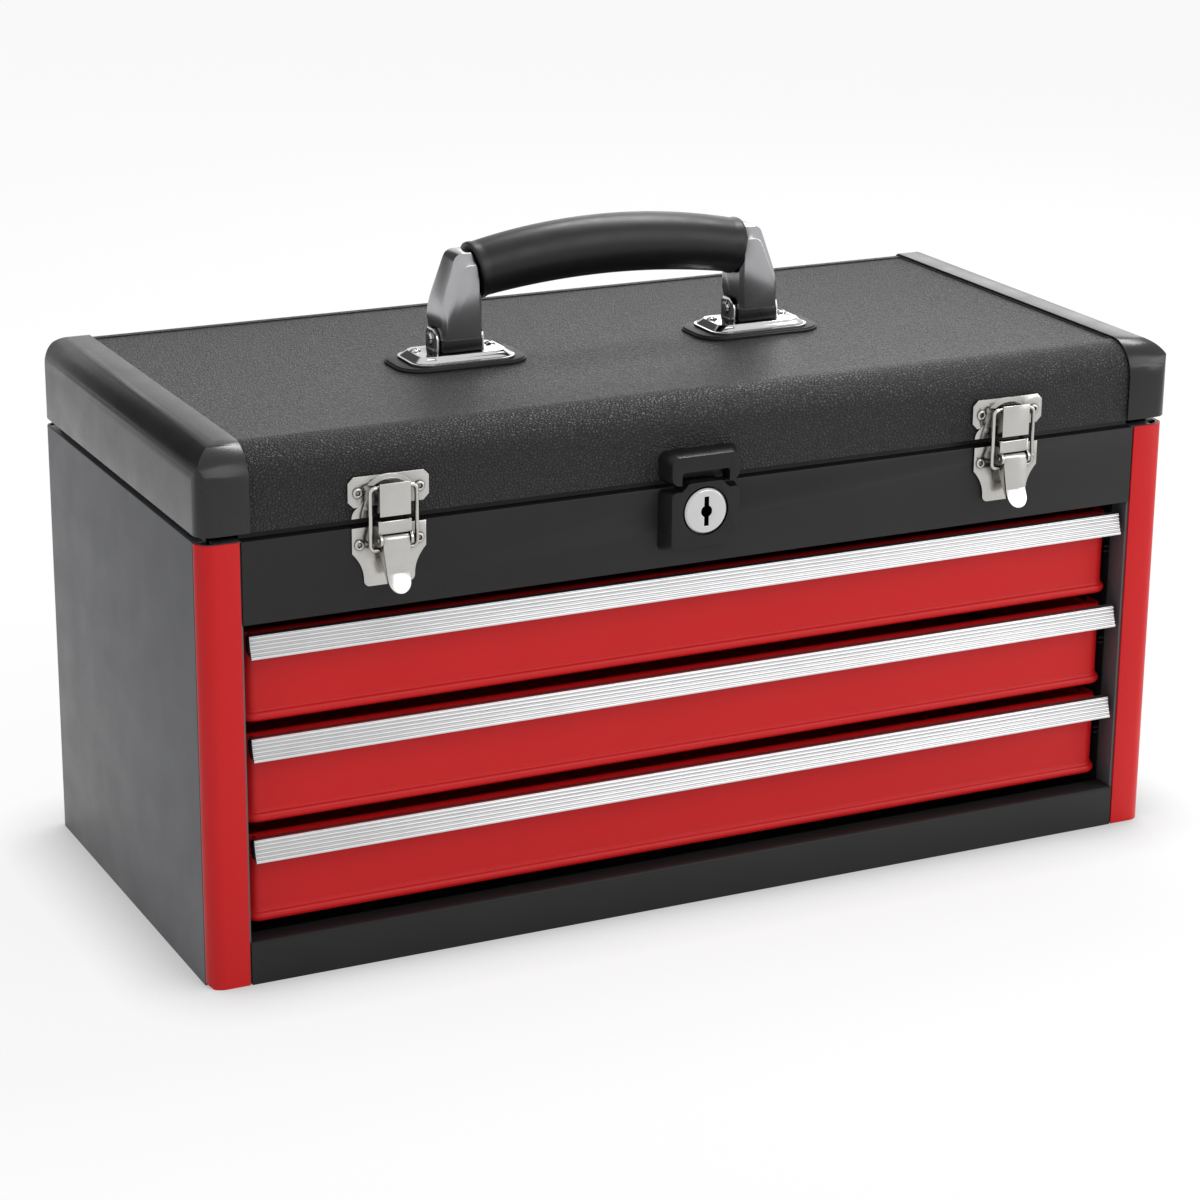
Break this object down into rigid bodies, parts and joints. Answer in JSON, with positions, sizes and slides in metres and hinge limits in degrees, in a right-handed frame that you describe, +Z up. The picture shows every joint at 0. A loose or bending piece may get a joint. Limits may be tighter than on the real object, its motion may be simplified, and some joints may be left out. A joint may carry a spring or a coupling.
{
  "type": "portable tool box with drawers",
  "caption": "Portable sheet-steel tool box with a hinged lid, stacked drawers, draw latches, a cylinder lock and a folding carry handle.",
  "frame": {"origin": "centre of the base, on the surface it stands on", "axes": "+Z up, front with the drawers towards -Y, +X to the right seen from the front"},
  "size_m": [0.521, 0.2491, 0.3252],
  "materials": {
    "grey_steel": "satin powder coat, dark grey",
    "charcoal_steel": "satin powder coat, charcoal",
    "black_steel": "satin black paint inside the case",
    "satin_black": "smooth satin black",
    "wrinkle_black": "fine leather-grain texture coat, black",
    "red_steel": "semi-gloss red powder coat",
    "aluminium_pull": "brushed, ribbed along its length",
    "nickel_plate": "nickel-plated pressed steel",
    "chrome": "polished chrome",
    "polished_steel": "finely turned and polished",
    "hinge_steel": "plain rolled steel",
    "zinc_steel": "zinc plated",
    "black_plastic": "satin moulded plastic",
    "black_rubber": "moulded rubber",
    "grip_rubber": "smooth soft-touch grip"
  },
  "bodies": {
    "case": {"base_pan": "black_steel", "left_side": "grey_steel", "right_side": "grey_steel", "back_panel": "grey_steel", "front_top_rail": "charcoal_steel", "front_bottom_rail": "charcoal_steel", "left_post": "red_steel", "right_post": "red_steel", "till_floor": "black_steel", "left_liner": "black_steel", "right_liner": "black_steel", "hinge_case_leaf": "hinge_steel", "hinge_pin": "hinge_steel", "left_latch_base": "nickel_plate", "right_latch_base": "nickel_plate", "latch_pins": "nickel_plate", "latch_base_rivets": "nickel_plate", "lock_housing": "black_plastic", "lock_nut": "zinc_steel"},
    "lock_core": {"lock_cylinder": "polished_steel", "lock_cam": "zinc_steel"},
    "lid": {"lid_cover": "wrinkle_black", "left_lid_cap": "satin_black", "right_lid_cap": "satin_black", "hinge_lid_leaf": "hinge_steel", "left_strike": "nickel_plate", "right_strike": "nickel_plate", "strike_rivets": "nickel_plate", "lock_hood": "black_plastic", "left_handle_pad": "black_rubber", "right_handle_pad": "black_rubber", "left_handle_plate": "chrome", "right_handle_plate": "chrome", "handle_screws": "zinc_steel", "handle_pins": "zinc_steel"},
    "handle": {"left_bracket": "chrome", "right_bracket": "chrome", "handle_strap": "zinc_steel", "handle_grip": "grip_rubber", "handle_feet": "black_plastic"},
    "latch_lever_left": {"left_lever": "nickel_plate"},
    "latch_lever_right": {"right_lever": "nickel_plate"},
    "latch_bail_left": {"left_bail": "nickel_plate"},
    "latch_bail_right": {"right_bail": "nickel_plate"},
    "drawer_1": {"drawer_1_tray": "red_steel", "drawer_1_front": "red_steel", "drawer_1_pull": "aluminium_pull", "drawer_1_pull_ends": "black_plastic", "drawer_1_slides": "zinc_steel"},
    "drawer_2": {"drawer_2_tray": "red_steel", "drawer_2_front": "red_steel", "drawer_2_pull": "aluminium_pull", "drawer_2_pull_ends": "black_plastic", "drawer_2_slides": "zinc_steel"},
    "drawer_3": {"drawer_3_tray": "red_steel", "drawer_3_front": "red_steel", "drawer_3_pull": "aluminium_pull", "drawer_3_pull_ends": "black_plastic", "drawer_3_slides": "zinc_steel"}
  },
  "joints": [
    {"name": "lid_hinge", "type": "hinge", "parent": "case", "child": "lid", "pos_m": [0, 0.11845, 0.219], "axis": [-1, 0, 0], "range_deg": [0, 100]},
    {"name": "handle_fold", "type": "hinge", "parent": "lid", "child": "handle", "pos_m": [-0.0038, -0.001, 0.27105], "axis": [-1, 0, 0], "range_deg": [0, 70]},
    {"name": "lock_turn", "type": "hinge", "parent": "case", "child": "lock_core", "pos_m": [-0.0095, -0.12, 0.2059], "axis": [0, 1, 0], "range_deg": [0, 90]},
    {"name": "latch_lever_left", "type": "hinge", "parent": "case", "child": "latch_lever_left", "pos_m": [-0.1687, -0.124, 0.212], "axis": [-1, 0, 0], "range_deg": [0, 105]},
    {"name": "latch_bail_left", "type": "hinge", "parent": "latch_lever_left", "child": "latch_bail_left", "pos_m": [-0.1687, -0.12279, 0.20715], "axis": [-1, 0, 0], "range_deg": [-117.12, 0]},
    {"name": "latch_lever_right", "type": "hinge", "parent": "case", "child": "latch_lever_right", "pos_m": [0.163, -0.124, 0.212], "axis": [-1, 0, 0], "range_deg": [0, 105]},
    {"name": "latch_bail_right", "type": "hinge", "parent": "latch_lever_right", "child": "latch_bail_right", "pos_m": [0.163, -0.12279, 0.20715], "axis": [-1, 0, 0], "range_deg": [-117.12, 0]},
    {"name": "drawer_1_slide", "type": "slide", "parent": "case", "child": "drawer_1", "axis": [0, -1, 0], "range_m": [0, 0.18]},
    {"name": "drawer_2_slide", "type": "slide", "parent": "case", "child": "drawer_2", "axis": [0, -1, 0], "range_m": [0, 0.18]},
    {"name": "drawer_3_slide", "type": "slide", "parent": "case", "child": "drawer_3", "axis": [0, -1, 0], "range_m": [0, 0.18]}
  ],
  "couplings": [
    {"joint": "latch_bail_left", "follows": "latch_lever_left", "ratio": -1.115},
    {"joint": "latch_bail_right", "follows": "latch_lever_right", "ratio": -1.115}
  ]
}
